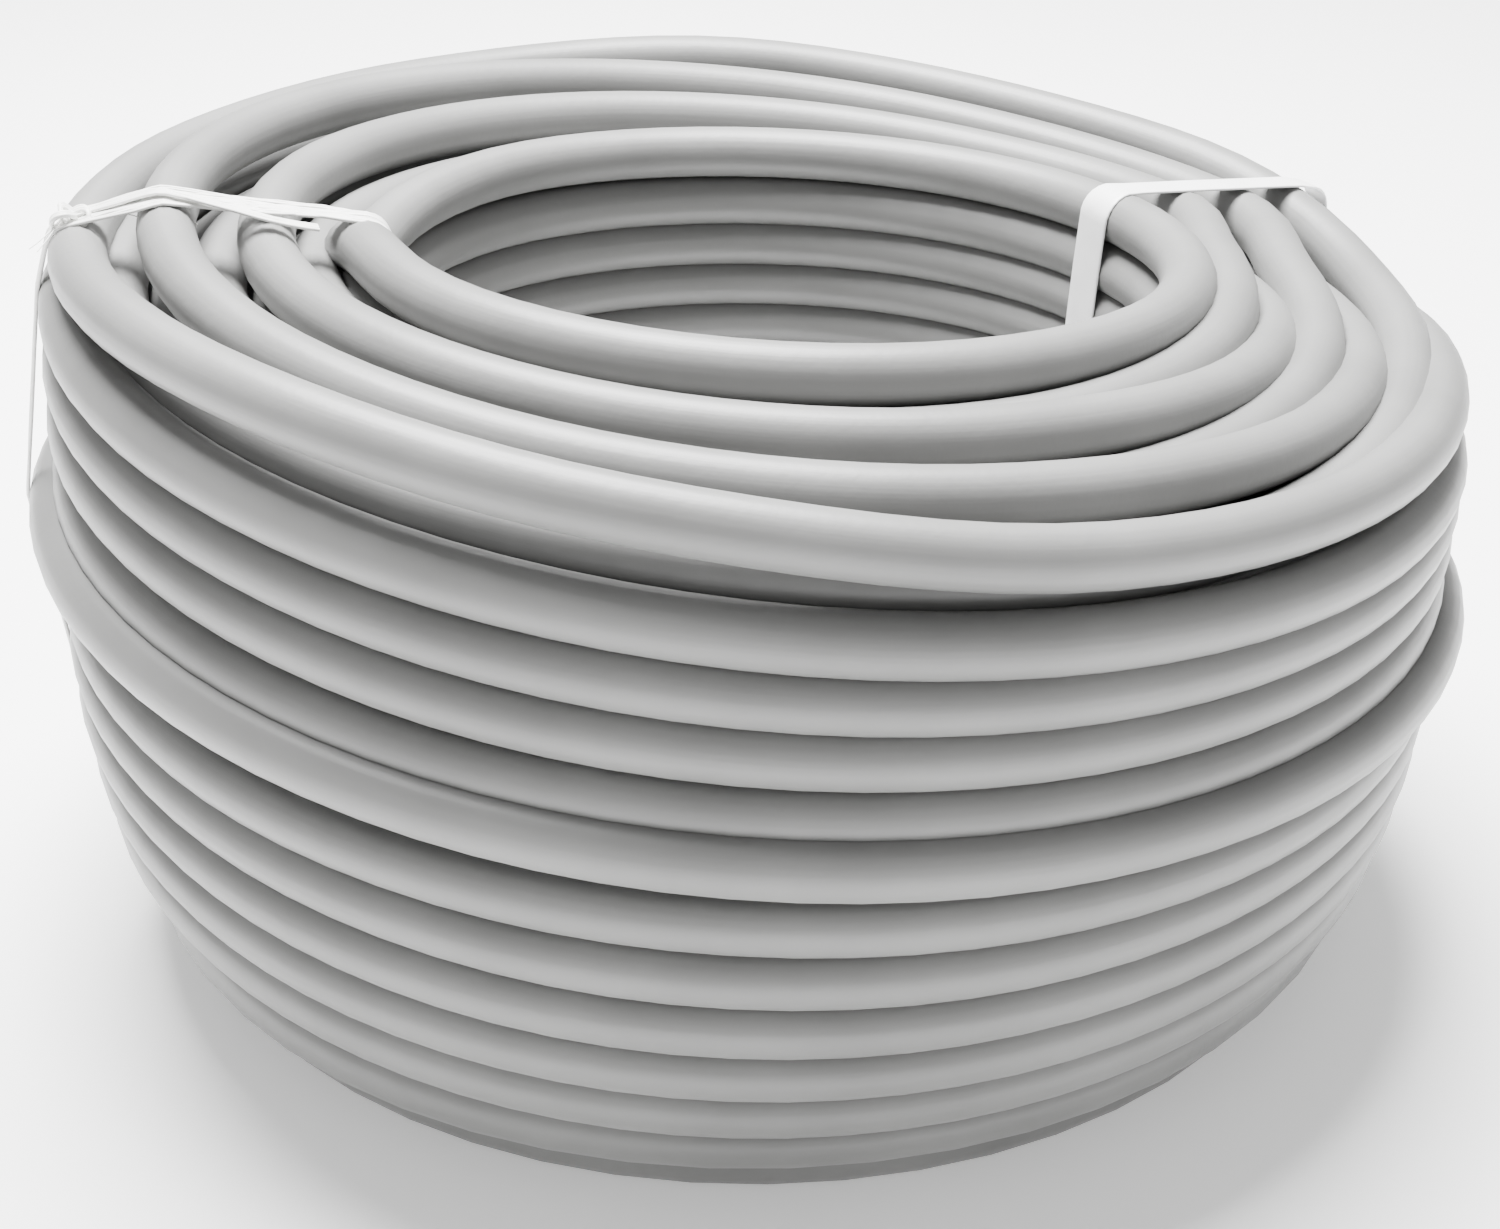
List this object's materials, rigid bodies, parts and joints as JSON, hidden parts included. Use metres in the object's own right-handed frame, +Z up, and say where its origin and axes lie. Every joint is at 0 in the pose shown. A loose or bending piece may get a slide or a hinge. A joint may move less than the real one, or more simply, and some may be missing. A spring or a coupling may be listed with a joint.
{
  "type": "cable coil",
  "caption": "Tied coil of grey jacketed copper data cable, wound in layers around an open bore and standing on its end.",
  "frame": {"origin": "on the floor, under the middle of the coil's outline", "axes": "+Z up along the coil's bore; +X towards the low side of the leaning top, near the flat tie; -Y towards the side where the outer turns gape"},
  "size_m": [0.195, 0.195, 0.1088],
  "materials": {
    "cable_jacket": "smooth extruded polyolefin jacket, light grey, faint sheen",
    "tie_fibre": "white split-fibre polypropylene band, knotted",
    "tie_tape": "flat white polypropylene tape"
  },
  "bodies": {
    "root": {"cable_coil": "cable_jacket", "knotted_tie": "tie_fibre", "flat_tie": "tie_tape"}
  },
  "joints": []
}
